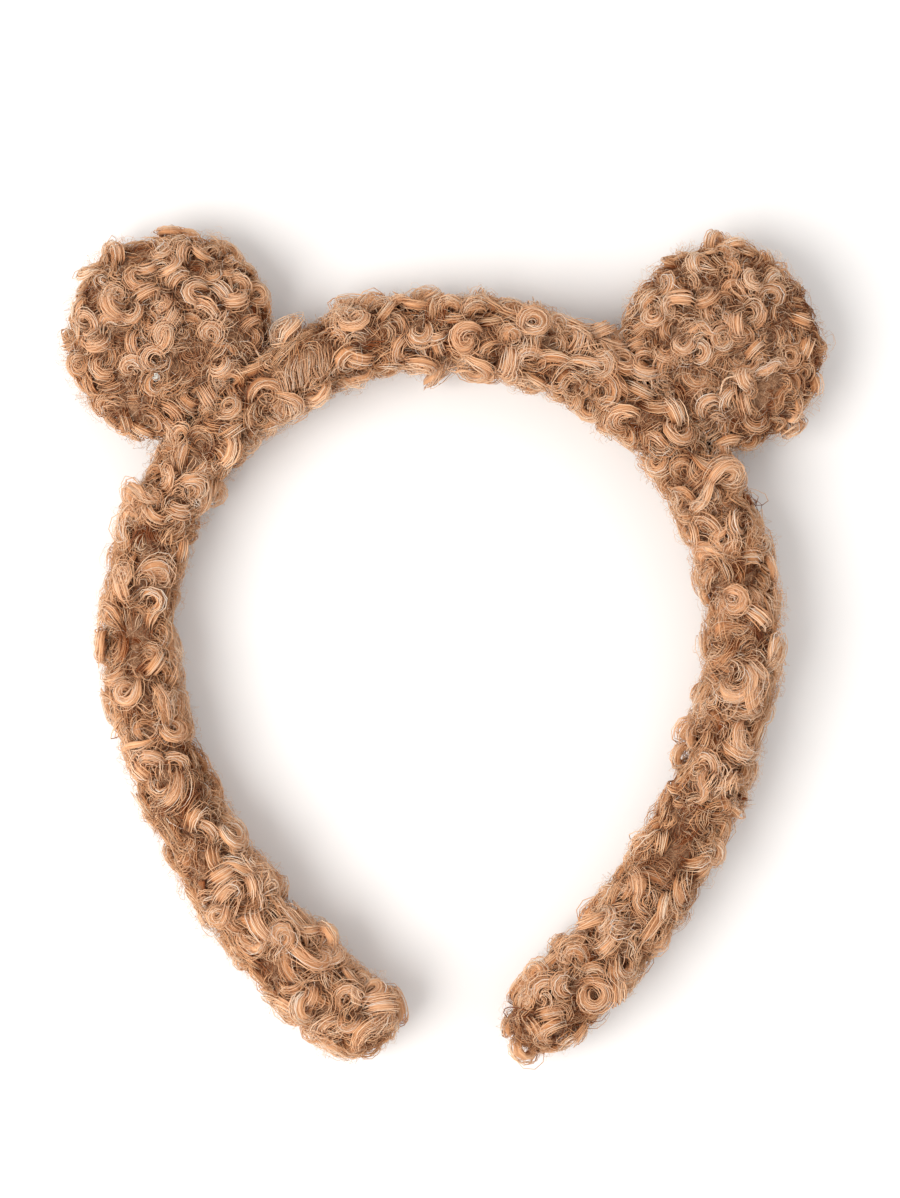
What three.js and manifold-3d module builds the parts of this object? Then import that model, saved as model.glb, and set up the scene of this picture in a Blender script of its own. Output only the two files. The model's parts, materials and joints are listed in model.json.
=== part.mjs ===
// A soft headband with two round animal ears. A sprung steel strip runs inside foam padding and a
// sleeve of curly-pile fabric; each ear is two sewn panels round a soft filling.
// Millimetres. The band lies flat: +Y points to the crown, +Z is the front of the worn headband.
import * as THREE from "three";
import { mergeVertices } from "three/addons/utils/BufferGeometryUtils.js";
import Module from "manifold-3d";

// ---- Driving dimensions ----------------------------------------------------------------------
// The middle line of the band is one wide arc over the crown and sides, then a flatter arc down
// each arm. A place on it is its distance along the line from the top of the crown: negative on
// the left, positive on the right.
const BAND_RADIUS = 69.5;
const BAND_ARC = 127.0;
const ARM_RADIUS = 136.0;
const ARM_ARC = 95.3;
const TIP = BAND_ARC + ARM_ARC;

// Cross-section of the covered band: half its thickness, seen from the front, and half its width.
const BAND_HALF_THICK = 9.0;
const BAND_HALF_WIDE = 12.5;
const ARM_SWELL = 0.14;
const ARM_SWELL_FROM = 120.0;
const ARM_SWELL_TO = 190.0;
const COVER_WALL = 3.0;
const CLEARANCE = 0.6;
const FLAT_FROM = THREE.MathUtils.degToRad(153);
const OUTER_CORNERS = 9;
const INNER_CORNERS = 5;
const STATION_STEP = 10.0;

// The band flexes at four places, each a hinge across the strip.
const CROWN_FLEX = 24.0;
const ARM_FLEX = 118.0;
const CROWN_COVER_GAP = 2.6;
const ARM_COVER_GAP = 2.2;
const CROWN_PAD_GAP = 2.0;
const ARM_PAD_GAP = 1.8;
const STRIP_GAP = 0.6;

// Steel strip and the cap on each of its ends.
const STRIP_THICK = 1.0;
const STRIP_WIDE = 7.0;
const STRIP_END = 211.0;
const STRIP_SLOT_CLEARANCE = 0.4;
const CAP_THICK = 3.6;
const CAP_WIDE = 9.6;
const CAP_FROM = 207.0;
const CAP_TO = 214.0;
const PAD_END = 206.4;

// The rounded tip of the cover and the stitch that closes it.
const TIP_ROUNDING_FROM = 213.0;
const TIP_ROUNDING_LENGTH = 10.0;
const TIP_STEPS = 4;
const TIP_STITCH = { thick: 1.6, wide: 3.0, long: 1.7, inset: 1.2 };

// Seam along the inside of the band: the slit between the fabric's two edges, and its thread.
const SEAM_SLIT = 2.6;
const SEAM_WAVE = 0.5;
const SEAM_PITCH = 8.0;
const SEAM_STEPS_PER_PITCH = 4;
const SEAM_END = 219.0;
const THREAD_RADIUS = 0.35;
const THREAD_SIDES = 4;

// Ears: a domed disc that stands on the outer side of the band.
const EAR_RADIUS = 24.6;
const EAR_HALF_THICK = 12.0;
const EAR_CENTRE_OUT = 23.2;
const EAR_WALL = 2.8;
const EAR_RIM_GAP = 1.4;
const EAR_BASE_LIFT = 1.7;
const EAR_DOME_POWER = 2.4;
const EAR_DOME_STEPS = 5;
const EAR_SEGMENTS = 24;
const EAR_PLACES = { left: -49.7, right: 55.5 };
const FILLING_CLEARANCE = 0.5;
const FILLING_BASE_LIFT = 4.5;
const RIM_THREAD_INSET = 1.2;
const RIM_THREAD_STEPS = 20;
const RIM_THREAD_HALF_TURN = THREE.MathUtils.degToRad(122);
const BASE_STITCH_LIFT = 0.8;
const BASE_STITCH_HALF_LENGTH = 15.0;
const BASE_STITCH_WAVE = 0.7;
const BASE_STITCHES = 6;

// ---- Solid joining and cutting ---------------------------------------------------------------
const wasm = await Module();
wasm.setup();

function toSolid(geometry) {
  const bare = geometry.clone();
  bare.deleteAttribute("normal");
  bare.deleteAttribute("uv");
  const merged = mergeVertices(bare, 1e-4);
  const vertProperties = Float32Array.from(merged.attributes.position.array);
  const triVerts = Uint32Array.from(merged.index.array);
  return new wasm.Manifold(new wasm.Mesh({ numProp: 3, vertProperties, triVerts }));
}

function toGeometry(solid) {
  const mesh = solid.getMesh();
  const geometry = new THREE.BufferGeometry();
  geometry.setAttribute("position", new THREE.BufferAttribute(mesh.vertProperties, 3));
  geometry.setIndex(new THREE.BufferAttribute(mesh.triVerts, 1));
  return geometry;
}

// ---- The band's own coordinates: out from the middle line, up along Z, along the line ---------
function bandHeading(along) {
  const distance = Math.abs(along);
  const turn = Math.min(distance, BAND_ARC) / BAND_RADIUS;
  const armTurn = Math.max(distance - BAND_ARC, 0) / ARM_RADIUS;
  return { turn, armTurn, side: along < 0 ? -1 : 1 };
}

function onBand(out, up, along) {
  const { turn, armTurn, side } = bandHeading(along);
  const heading = turn + armTurn;
  const arcOffset = armTurn > 0 ? BAND_RADIUS - ARM_RADIUS : 0;
  const reach = armTurn > 0 ? ARM_RADIUS : BAND_RADIUS;
  const x = arcOffset * Math.sin(turn) + (reach + out) * Math.sin(heading);
  const y = arcOffset * Math.cos(turn) + (reach + out) * Math.cos(heading);
  return new THREE.Vector3(side * x, y, up);
}

function bendOntoBand(geometry) {
  const position = geometry.attributes.position;
  for (let i = 0; i < position.count; i++) {
    const point = onBand(position.getX(i), position.getY(i), position.getZ(i));
    position.setXYZ(i, point.x, point.y, point.z);
  }
  return geometry;
}

function bandSwell(along) {
  const distance = Math.abs(along);
  const blend = THREE.MathUtils.smoothstep(distance, ARM_SWELL_FROM, ARM_SWELL_TO);
  const past = Math.max(distance - TIP_ROUNDING_FROM, 0) / TIP_ROUNDING_LENGTH;
  const round = Math.sqrt(1 - past * past);
  return { thick: (1 + ARM_SWELL * blend) * round, wide: round };
}

// Places along the band, an odd number of steps apart so that a flat facet sits in the middle.
function evenStations(from, to) {
  const steps = 2 * Math.ceil((to - from) / (2 * STATION_STEP)) + 1;
  return Array.from({ length: steps + 1 }, (_, i) => from + ((to - from) * i) / steps);
}

function tipStations(to) {
  const stations = [];
  const reach = Math.asin((to - TIP_ROUNDING_FROM) / TIP_ROUNDING_LENGTH);
  for (let i = 1; i <= TIP_STEPS; i++) {
    stations.push(TIP_ROUNDING_FROM + TIP_ROUNDING_LENGTH * Math.sin((reach * i) / TIP_STEPS));
  }
  return stations;
}

function mirrored(stations) {
  return stations.map((along) => -along).reverse();
}

// Sweeps a section, drawn as (out, up), through stations along the band.
function sweepAlongBand(section, stations, swells) {
  const steps = stations.length - 1;
  const geometry = new THREE.ExtrudeGeometry(section, { depth: 1, steps, bevelEnabled: false });
  const position = geometry.attributes.position;
  for (let i = 0; i < position.count; i++) {
    const along = stations[Math.round(position.getZ(i) * steps)];
    const swell = swells ? bandSwell(along) : { thick: 1, wide: 1 };
    position.setXYZ(i, position.getX(i) * swell.thick, position.getY(i) * swell.wide, along);
  }
  return bendOntoBand(geometry);
}

function threadAlong(points, steps) {
  const section = new THREE.Shape();
  for (let i = 0; i < THREAD_SIDES; i++) {
    const angle = (2 * Math.PI * i) / THREAD_SIDES;
    const corner = [THREAD_RADIUS * Math.cos(angle), THREAD_RADIUS * Math.sin(angle)];
    if (i === 0) section.moveTo(...corner);
    else section.lineTo(...corner);
  }
  section.closePath();
  const extrudePath = new THREE.CatmullRomCurve3(points);
  return new THREE.ExtrudeGeometry(section, { steps, extrudePath });
}

// ---- Sections --------------------------------------------------------------------------------
// The band's outline is an ellipse with a flat on the side that meets the head. It is drawn with
// the given number of corners on each half, and starts and ends at the edges of the flat.
function outlinePoints(halfThick, halfWide, corners) {
  const points = [];
  for (let i = -corners; i < corners; i++) {
    const angle = (FLAT_FROM * (i + 0.5)) / (corners - 0.5);
    points.push(new THREE.Vector2(halfThick * Math.cos(angle), halfWide * Math.sin(angle)));
  }
  return points;
}

function coverSection() {
  const innerThick = BAND_HALF_THICK - COVER_WALL;
  const outer = outlinePoints(BAND_HALF_THICK, BAND_HALF_WIDE, OUTER_CORNERS);
  const inner = outlinePoints(innerThick, BAND_HALF_WIDE - COVER_WALL, INNER_CORNERS);
  const edge = (points, up) => new THREE.Vector2(points[0].x, up);
  return new THREE.Shape([
    edge(outer, -SEAM_SLIT / 2),
    ...outer,
    edge(outer, SEAM_SLIT / 2),
    edge(inner, SEAM_SLIT / 2),
    ...inner.reverse(),
    edge(inner, -SEAM_SLIT / 2),
  ]);
}

function rectangle(thick, wide) {
  return [
    new THREE.Vector2(-thick / 2, -wide / 2),
    new THREE.Vector2(thick / 2, -wide / 2),
    new THREE.Vector2(thick / 2, wide / 2),
    new THREE.Vector2(-thick / 2, wide / 2),
  ];
}

function paddingSection() {
  const inset = COVER_WALL + CLEARANCE;
  const outline = outlinePoints(BAND_HALF_THICK - inset, BAND_HALF_WIDE - inset, INNER_CORNERS);
  const section = new THREE.Shape(outline);
  const slot = 2 * STRIP_SLOT_CLEARANCE;
  section.holes.push(new THREE.Path(rectangle(STRIP_THICK + slot, STRIP_WIDE + slot)));
  return section;
}

// ---- Materials -------------------------------------------------------------------------------
const boucle = () => new THREE.MeshStandardMaterial({ color: 0xb38565, roughness: 0.95, metalness: 0 });
const thread = () => new THREE.MeshStandardMaterial({ color: 0xc39a78, roughness: 0.8, metalness: 0 });
const foam = () => new THREE.MeshStandardMaterial({ color: 0xe9e2d2, roughness: 1, metalness: 0 });
const wadding = () => new THREE.MeshStandardMaterial({ color: 0xf4f2ec, roughness: 1, metalness: 0 });
const steel = () => new THREE.MeshStandardMaterial({ color: 0x9aa0a6, roughness: 0.35, metalness: 1 });
const vinyl = () => new THREE.MeshStandardMaterial({ color: 0x2c2a29, roughness: 0.6, metalness: 0 });

function namedMesh(name, geometry, material) {
  const mesh = new THREE.Mesh(geometry, material);
  mesh.name = name;
  return mesh;
}

// ---- Band ------------------------------------------------------------------------------------
// Every layer of the band is cut at the flex places into the same five lengths.
const SEGMENTS = [
  { name: "crown", side: 1, from: -CROWN_FLEX, to: CROWN_FLEX },
  { name: "left_upper_arm", side: -1, from: CROWN_FLEX, to: ARM_FLEX },
  { name: "left_lower_arm", side: -1, from: ARM_FLEX, to: TIP },
  { name: "right_upper_arm", side: 1, from: CROWN_FLEX, to: ARM_FLEX },
  { name: "right_lower_arm", side: 1, from: ARM_FLEX, to: TIP },
];

// The stretch of a segment that a layer fills, with half a gap left at each flex place.
function layerSpan(segment, crownGap, armGap, tipEnd) {
  const gapAt = (place) => (Math.abs(place) === CROWN_FLEX ? crownGap : armGap) / 2;
  const from = segment.from + gapAt(segment.from);
  const to = segment.to === TIP ? tipEnd : segment.to - gapAt(segment.to);
  return { from, to };
}

function layerStations(segment, span) {
  const stations = evenStations(span.from, span.to);
  return segment.side < 0 ? mirrored(stations) : stations;
}

function springStrip(segment) {
  const span = layerSpan(segment, STRIP_GAP, STRIP_GAP, STRIP_END);
  const section = new THREE.Shape(rectangle(STRIP_THICK, STRIP_WIDE));
  const geometry = sweepAlongBand(section, layerStations(segment, span), false);
  return namedMesh(`spring_strip_${segment.name}`, geometry, steel());
}

function padding(segment) {
  const span = layerSpan(segment, CROWN_PAD_GAP, ARM_PAD_GAP, PAD_END);
  const geometry = sweepAlongBand(paddingSection(), layerStations(segment, span), true);
  return namedMesh(`padding_${segment.name}`, geometry, foam());
}

function cover(segment) {
  const hasTip = segment.to === TIP;
  const span = layerSpan(segment, CROWN_COVER_GAP, ARM_COVER_GAP, TIP_ROUNDING_FROM);
  let stations = evenStations(span.from, span.to);
  if (hasTip) stations = stations.concat(tipStations(TIP));
  if (segment.side < 0) stations = mirrored(stations);
  const geometry = sweepAlongBand(coverSection(), stations, true);
  return namedMesh(`cover_${segment.name}`, geometry, boucle());
}

function seamThread(segment) {
  const span = layerSpan(segment, CROWN_COVER_GAP, ARM_COVER_GAP, SEAM_END);
  const pitches = Math.round((span.to - span.from) / SEAM_PITCH);
  const wallMiddle = (BAND_HALF_THICK - COVER_WALL / 2) * Math.cos(FLAT_FROM);
  const points = [];
  for (let i = 0; i <= 2 * pitches; i++) {
    const along = span.from + ((span.to - span.from) * i) / (2 * pitches);
    const swell = bandSwell(along);
    const up = (i % 2 === 0 ? -SEAM_WAVE : SEAM_WAVE) * swell.wide;
    points.push(onBand(wallMiddle * swell.thick, up, segment.side * along));
  }
  const geometry = threadAlong(points, pitches * SEAM_STEPS_PER_PITCH);
  return namedMesh(`seam_thread_${segment.name}`, geometry, thread());
}

// A moulded cap with a blind slot, pushed on the end of the strip.
function tipCap(name, side) {
  const prism = (thick, wide, from, to) => {
    const depth = to - from;
    const shape = new THREE.Shape(rectangle(thick, wide));
    const geometry = new THREE.ExtrudeGeometry(shape, { depth, bevelEnabled: false });
    return toSolid(geometry.translate(0, 0, from));
  };
  const slot = 2 * STRIP_SLOT_CLEARANCE;
  const body = prism(CAP_THICK, CAP_WIDE, CAP_FROM, CAP_TO);
  const bore = prism(STRIP_THICK + slot, STRIP_WIDE + slot, CAP_FROM - 1, STRIP_END + STRIP_SLOT_CLEARANCE);
  const geometry = toGeometry(body.subtract(bore));
  if (side < 0) geometry.rotateX(Math.PI);
  return namedMesh(`tip_cap_${name}`, bendOntoBand(geometry), vinyl());
}

// The drawn-up knot of thread that closes the cover's rounded end.
function tipStitch(name, side) {
  const geometry = new THREE.SphereGeometry(1, 10, 8);
  geometry.scale(TIP_STITCH.thick, TIP_STITCH.wide, TIP_STITCH.long);
  geometry.translate(0, 0, side * (TIP - TIP_STITCH.inset));
  return namedMesh(`tip_gather_stitch_${name}`, bendOntoBand(geometry), thread());
}

// ---- Ears ------------------------------------------------------------------------------------
// An ear is drawn standing on the band: x along the band, y out from its middle line.
function domeProfile(radius, height, rim) {
  const points = [];
  for (let i = 0; i <= EAR_DOME_STEPS; i++) {
    const angle = (Math.PI / 2) * (i / EAR_DOME_STEPS);
    const reach = Math.pow(Math.sin(angle), 2 / EAR_DOME_POWER);
    const lift = Math.pow(Math.max(Math.cos(angle), 0), 2 / EAR_DOME_POWER);
    points.push(new THREE.Vector2(i === 0 ? 0 : radius * reach, rim + (height - rim) * lift));
  }
  return points;
}

function turned(profile) {
  const geometry = new THREE.LatheGeometry(profile, EAR_SEGMENTS);
  geometry.rotateX(Math.PI / 2);
  geometry.translate(0, EAR_CENTRE_OUT, 0);
  return toSolid(geometry);
}

// The space taken by the band under an ear, with a lift that leaves room for the base stitches.
function bandUnderEar(lift) {
  const radius = BAND_RADIUS + BAND_HALF_THICK + lift;
  const geometry = new THREE.CylinderGeometry(radius, radius, 4 * EAR_HALF_THICK, 96);
  geometry.rotateX(Math.PI / 2);
  geometry.translate(0, -BAND_RADIUS, 0);
  return toSolid(geometry);
}

function earPanel(name, face) {
  const rim = EAR_RIM_GAP / 2;
  const outer = domeProfile(EAR_RADIUS, EAR_HALF_THICK, rim);
  const inner = domeProfile(EAR_RADIUS - EAR_WALL, EAR_HALF_THICK - EAR_WALL, rim);
  const shell = turned(outer.concat(inner.reverse()).reverse());
  const geometry = toGeometry(shell.subtract(bandUnderEar(EAR_BASE_LIFT)));
  if (face < 0) {
    geometry.rotateY(Math.PI);
  }
  return namedMesh(name, geometry, boucle());
}

function earFilling(name) {
  const inset = EAR_WALL + FILLING_CLEARANCE;
  const half = domeProfile(EAR_RADIUS - inset, EAR_HALF_THICK - inset, 0);
  const lower = half.slice(0, -1).map((point) => new THREE.Vector2(point.x, -point.y));
  const lens = turned(half.concat(lower.reverse()).reverse());
  const geometry = toGeometry(lens.subtract(bandUnderEar(FILLING_BASE_LIFT)));
  return namedMesh(name, geometry, wadding());
}

function rimSeam(name) {
  const points = [];
  for (let i = 0; i <= RIM_THREAD_STEPS; i++) {
    const angle = RIM_THREAD_HALF_TURN * ((2 * i) / RIM_THREAD_STEPS - 1);
    const radius = EAR_RADIUS - RIM_THREAD_INSET;
    const out = EAR_CENTRE_OUT + radius * Math.cos(angle);
    points.push(new THREE.Vector3(radius * Math.sin(angle), out, 0));
  }
  return namedMesh(name, threadAlong(points, RIM_THREAD_STEPS), thread());
}

function baseStitches(name) {
  const points = [];
  for (let i = 0; i <= 2 * BASE_STITCHES; i++) {
    const reach = BASE_STITCH_HALF_LENGTH * (i / BASE_STITCHES - 1);
    const radius = BAND_RADIUS + BAND_HALF_THICK + BASE_STITCH_LIFT;
    const turn = reach / radius;
    const up = i % 2 === 0 ? -BASE_STITCH_WAVE : BASE_STITCH_WAVE;
    points.push(new THREE.Vector3(radius * Math.sin(turn), radius * Math.cos(turn) - BAND_RADIUS, up));
  }
  return namedMesh(name, threadAlong(points, BASE_STITCHES * SEAM_STEPS_PER_PITCH), thread());
}

function ear(side) {
  const place = EAR_PLACES[side];
  const group = new THREE.Group();
  group.position.copy(onBand(0, 0, place));
  group.rotation.z = -place / BAND_RADIUS;
  group.add(
    earPanel(`${side}_ear_front_panel`, 1),
    earPanel(`${side}_ear_back_panel`, -1),
    earFilling(`${side}_ear_filling`),
    rimSeam(`${side}_ear_rim_seam`),
    baseStitches(`${side}_ear_base_stitches`),
  );
  return group;
}

// ---- The whole headband ----------------------------------------------------------------------
const headband = new THREE.Group();
for (const segment of SEGMENTS) {
  headband.add(springStrip(segment), padding(segment), cover(segment), seamThread(segment));
}
for (const [name, side] of [["left", -1], ["right", 1]]) {
  headband.add(tipCap(name, side), tipStitch(name, side), ear(name));
}

// The origin is under the middle of the part, on the surface that it lies on.
const extent = new THREE.Box3().setFromObject(headband, true);
const middle = extent.getCenter(new THREE.Vector3());
headband.position.set(-middle.x, -middle.y, -extent.min.z);

export default headband;
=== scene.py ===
"""The looks of the animal ears headband: a sleeve and two stuffed ears of curly-pile fabric.

The pile is modelled hair by hair: locks of filaments curl out of the fabric's backing in layers.
Lengths are in millimetres in the constants and in the band's and ears' own coordinates, and in
metres in the row frame, where every mesh lies.
"""

import json
import math

import bpy
import numpy as np
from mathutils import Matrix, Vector


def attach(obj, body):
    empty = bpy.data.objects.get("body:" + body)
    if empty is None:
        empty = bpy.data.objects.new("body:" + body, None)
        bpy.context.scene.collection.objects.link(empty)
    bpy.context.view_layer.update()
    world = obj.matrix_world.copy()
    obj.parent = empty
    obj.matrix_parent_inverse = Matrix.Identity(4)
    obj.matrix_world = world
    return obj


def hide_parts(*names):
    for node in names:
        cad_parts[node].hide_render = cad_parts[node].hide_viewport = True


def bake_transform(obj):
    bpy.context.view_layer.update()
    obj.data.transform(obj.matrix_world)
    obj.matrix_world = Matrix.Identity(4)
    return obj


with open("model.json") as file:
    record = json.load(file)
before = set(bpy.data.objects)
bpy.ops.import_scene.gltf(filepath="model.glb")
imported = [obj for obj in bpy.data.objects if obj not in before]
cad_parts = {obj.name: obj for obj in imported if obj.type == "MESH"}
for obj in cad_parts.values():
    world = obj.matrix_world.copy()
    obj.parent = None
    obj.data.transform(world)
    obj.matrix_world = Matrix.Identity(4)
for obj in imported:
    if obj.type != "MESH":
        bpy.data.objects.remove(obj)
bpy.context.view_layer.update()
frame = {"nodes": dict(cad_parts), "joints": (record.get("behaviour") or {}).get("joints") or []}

MM = 0.001

# ---- The band's middle line: a wide arc over the crown and sides, then a flatter arc down each arm
BAND_RADIUS = 69.5
BAND_ARC = 127.0
ARM_RADIUS = 136.0
TIP = 222.3
CROWN_FLEX = 24.0
ARM_FLEX = 118.0

# ---- The fabric's backing, under the pile
BACKING_HALF_THICK = 5.9
BACKING_HALF_WIDE = 9.3
BACKING_END = 219.4
BACKING_ROUNDING = 8.0
INNER_FLAT = -0.89
ARM_SWELL = 0.14
ARM_SWELL_FROM = 120.0
ARM_SWELL_TO = 190.0

# ---- Ears
EAR_RADIUS = 21.9
EAR_HALF_THICK = 9.3
EAR_DOME_POWER = 2.4
EAR_CENTRE_OUT = 23.2
EAR_FOOT = 6.4
EAR_PLACES = {"left": -49.7, "right": 55.5}

JOINTS = {joint["name"]: joint for joint in frame["joints"]}


def band_centre():
    """The centre of the crown's arc, in metres, worked out from the two flex joints at the crown."""
    left = Vector(JOINTS["left_arm_flex"]["pos_m"])
    right = Vector(JOINTS["right_arm_flex"]["pos_m"])
    middle = (left + right) / 2
    middle.y -= MM * BAND_RADIUS * math.cos(CROWN_FLEX / BAND_RADIUS)
    return np.array(middle)


CENTRE = band_centre()
ARM_TURN = BAND_ARC / BAND_RADIUS
ARM_OFFSET = BAND_RADIUS - ARM_RADIUS


def arrays(*values):
    return np.broadcast_arrays(*(np.asarray(v, float) for v in values))


def on_band(out, up, along):
    """Points in the row frame from the band's own coordinates: out from the middle line, up, along it."""
    out, up, along = arrays(out, up, along)
    distance = np.abs(along)
    turn = np.minimum(distance, BAND_ARC) / BAND_RADIUS
    heading = turn + np.maximum(distance - BAND_ARC, 0) / ARM_RADIUS
    on_arm = distance > BAND_ARC
    offset = np.where(on_arm, ARM_OFFSET, 0.0)
    reach = np.where(on_arm, ARM_RADIUS, BAND_RADIUS) + out
    side = np.where(along < 0, -1.0, 1.0)
    x = side * (offset * np.sin(turn) + reach * np.sin(heading))
    y = offset * np.cos(turn) + reach * np.cos(heading)
    return CENTRE + MM * np.stack([x, y, up], axis=-1)


def band_place(points):
    """The band's own coordinates (out, up, along) of points in the row frame: the inverse of on_band."""
    x, y, up = np.moveaxis((points - CENTRE) / MM, -1, 0)
    side = np.where(x < 0, -1.0, 1.0)
    x = np.abs(x)
    turn = np.arctan2(x, y)
    arm_x = x - ARM_OFFSET * math.sin(ARM_TURN)
    arm_y = y - ARM_OFFSET * math.cos(ARM_TURN)
    arm_turn = np.arctan2(arm_x, arm_y)
    on_arm = turn > ARM_TURN
    along = np.where(on_arm, BAND_ARC + ARM_RADIUS * (arm_turn - ARM_TURN), BAND_RADIUS * turn)
    out = np.where(on_arm, np.hypot(arm_x, arm_y) - ARM_RADIUS, np.hypot(x, y) - BAND_RADIUS)
    return out, up, side * along


def on_ear(side, along, out, up):
    """Points in the row frame from an ear's own coordinates, whose origin is on the middle line."""
    turn = EAR_PLACES[side] / BAND_RADIUS
    along, out, up = arrays(along, out, up)
    x = along * math.cos(turn) + (BAND_RADIUS + out) * math.sin(turn)
    y = -along * math.sin(turn) + (BAND_RADIUS + out) * math.cos(turn)
    return CENTRE + MM * np.stack([x, y, up], axis=-1)


def ear_place(side, points):
    """An ear's own coordinates (along, out, up) of points in the row frame: the inverse of on_ear."""
    turn = EAR_PLACES[side] / BAND_RADIUS
    x, y, up = np.moveaxis((points - CENTRE) / MM, -1, 0)
    along = x * math.cos(turn) - y * math.sin(turn)
    out = x * math.sin(turn) + y * math.cos(turn) - BAND_RADIUS
    return along, out, up


def unit(vectors):
    return vectors / np.maximum(np.linalg.norm(vectors, axis=-1, keepdims=True), 1e-12)


def smooth(x):
    x = np.clip(x, 0, 1)
    return x * x * (3 - 2 * x)


# ---- Camera, lights and floor ----
CAMERA_HEIGHT = 0.95
CAMERA_AIM = (-0.00038, 0.01028)
CAMERA_ROLL = -1.27
FRAME_HEIGHT = 0.2761
SENSOR = 36.0
SUBJECT_HEIGHT = 0.016
FLOOR_HALF = 1.5
FLOOR_COLOUR = (0.82, 0.80, 0.785, 1)


def new_object(name, data):
    made = bpy.data.objects.new(name, data)
    bpy.context.scene.collection.objects.link(made)
    return made


def add_camera():
    data = bpy.data.cameras.new("camera")
    data.sensor_width = SENSOR
    data.lens = SENSOR * (CAMERA_HEIGHT - SUBJECT_HEIGHT) / FRAME_HEIGHT
    data.clip_end = 10.0
    camera = new_object("camera", data)
    camera.location = (*CAMERA_AIM, CAMERA_HEIGHT)
    camera.rotation_euler = (0, 0, math.radians(CAMERA_ROLL))
    bpy.context.scene.camera = camera


def add_area_light(name, place, size, watts, colour):
    data = bpy.data.lights.new(name, "AREA")
    data.shape = "DISK"
    data.size = size
    data.energy = watts
    data.color = colour
    light = new_object(name, data)
    light.location = place
    light.rotation_euler = Vector(place).to_track_quat("Z", "Y").to_euler()


def add_world(strength, colour):
    world = bpy.data.worlds.new("studio")
    world.use_nodes = True
    background = world.node_tree.nodes["Background"]
    background.inputs["Color"].default_value = (*colour, 1)
    background.inputs["Strength"].default_value = strength
    bpy.context.scene.world = world


def add_floor():
    mesh = bpy.data.meshes.new("floor")
    corners = [(x * FLOOR_HALF, y * FLOOR_HALF, 0) for x, y in ((-1, -1), (1, -1), (1, 1), (-1, 1))]
    mesh.from_pydata(corners, [], [(0, 1, 2, 3)])
    material, _, shader = new_material("floor", 0.7)
    shader.inputs["Base Color"].default_value = FLOOR_COLOUR
    mesh.materials.append(material)
    new_object("floor", mesh)


# ---- Mesh making ----
# The names of a mesh's layers: what shades a hair, where along which tube a point is, and the UVs.
FACTS = "pile"
WEAVE = "weave"
UV_LAYER = "OFBake"
# How much of its UV cell a tube leaves free on each side.
UV_MARGIN = 0.12


def make_mesh(name, points, quads, triangles=(), layers=None, uvs=None):
    """A mesh object from arrays of points, of four-sided faces and of three-sided ones."""
    mesh = bpy.data.meshes.new(name)
    loops = np.concatenate([np.ravel(quads), np.ravel(triangles)]).astype(np.int32)
    sizes = np.concatenate([np.full(len(quads), 4), np.full(len(triangles), 3)])
    starts = np.concatenate([[0], np.cumsum(sizes)[:-1]]).astype(np.int32)
    mesh.vertices.add(len(points))
    mesh.vertices.foreach_set("co", np.ravel(points).astype(np.float32))
    mesh.loops.add(len(loops))
    mesh.loops.foreach_set("vertex_index", loops)
    mesh.polygons.add(len(sizes))
    mesh.polygons.foreach_set("loop_start", starts)
    mesh.polygons.foreach_set("use_smooth", np.ones(len(sizes), bool))
    for layer_name, values in (layers or {}).items():
        layer = mesh.attributes.new(layer_name, "FLOAT_VECTOR", "POINT")
        layer.data.foreach_set("vector", np.ravel(values).astype(np.float32))
    if uvs is not None:
        layer = mesh.uv_layers.new(name=UV_LAYER)
        layer.uv.foreach_set("vector", np.ravel(uvs).astype(np.float32))
    mesh.update(calc_edges=True)
    return new_object(name, mesh)


def ring_faces(rings, sides):
    """Four-sided faces between rings of points, ring by ring."""
    row, column = np.meshgrid(np.arange(rings - 1), np.arange(sides), indexing="ij")
    after = (column + 1) % sides
    corners = [row * sides + column, row * sides + after]
    corners += [(row + 1) * sides + after, (row + 1) * sides + column]
    return np.stack(corners, axis=-1).reshape(-1, 4)


def end_fans(rings, sides):
    """Three-sided faces from the first and the last ring to the two points that follow the rings."""
    ring = np.arange(sides)
    after = (ring + 1) % sides
    base = (rings - 1) * sides
    start = np.stack([after, ring, np.full(sides, rings * sides)], axis=1)
    end = np.stack([base + ring, base + after, np.full(sides, rings * sides + 1)], axis=1)
    return np.concatenate([start, end])


def circle(sides):
    """Angles evenly round a circle."""
    return 2 * math.pi * np.arange(sides) / sides


# ---- The backing of the sleeve ----
SLEEVE_SIDES = 40
SLEEVE_STEP = 2.0
TIP_STEPS = 8
SMALLEST_PINCH = 0.02


def band_swell(along):
    """How much thicker the padding is than at the crown: it swells along the arms."""
    distance = np.abs(along)
    blend = smooth((distance - ARM_SWELL_FROM) / (ARM_SWELL_TO - ARM_SWELL_FROM))
    return 1 + ARM_SWELL * blend


def sleeve_stations(start, end):
    """Places along the band and how far in each ring is pinched there: less than 1 near a tip."""
    inner = BACKING_END - BACKING_ROUNDING
    low, high = max(start, -inner), min(end, inner)
    steps = max(2, int(round((high - low) / SLEEVE_STEP)))
    along = np.linspace(low, high, steps + 1)
    pinch = np.ones_like(along)
    turn = np.linspace(0, math.pi / 2, TIP_STEPS + 1)[1:]
    cap_along = inner + BACKING_ROUNDING * np.sin(turn)
    cap_pinch = np.maximum(np.cos(turn), SMALLEST_PINCH)
    if end > inner:
        along, pinch = np.append(along, cap_along), np.append(pinch, cap_pinch)
    if start < -inner:
        along, pinch = np.append(-cap_along[::-1], along), np.append(cap_pinch[::-1], pinch)
    return along, pinch


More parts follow.
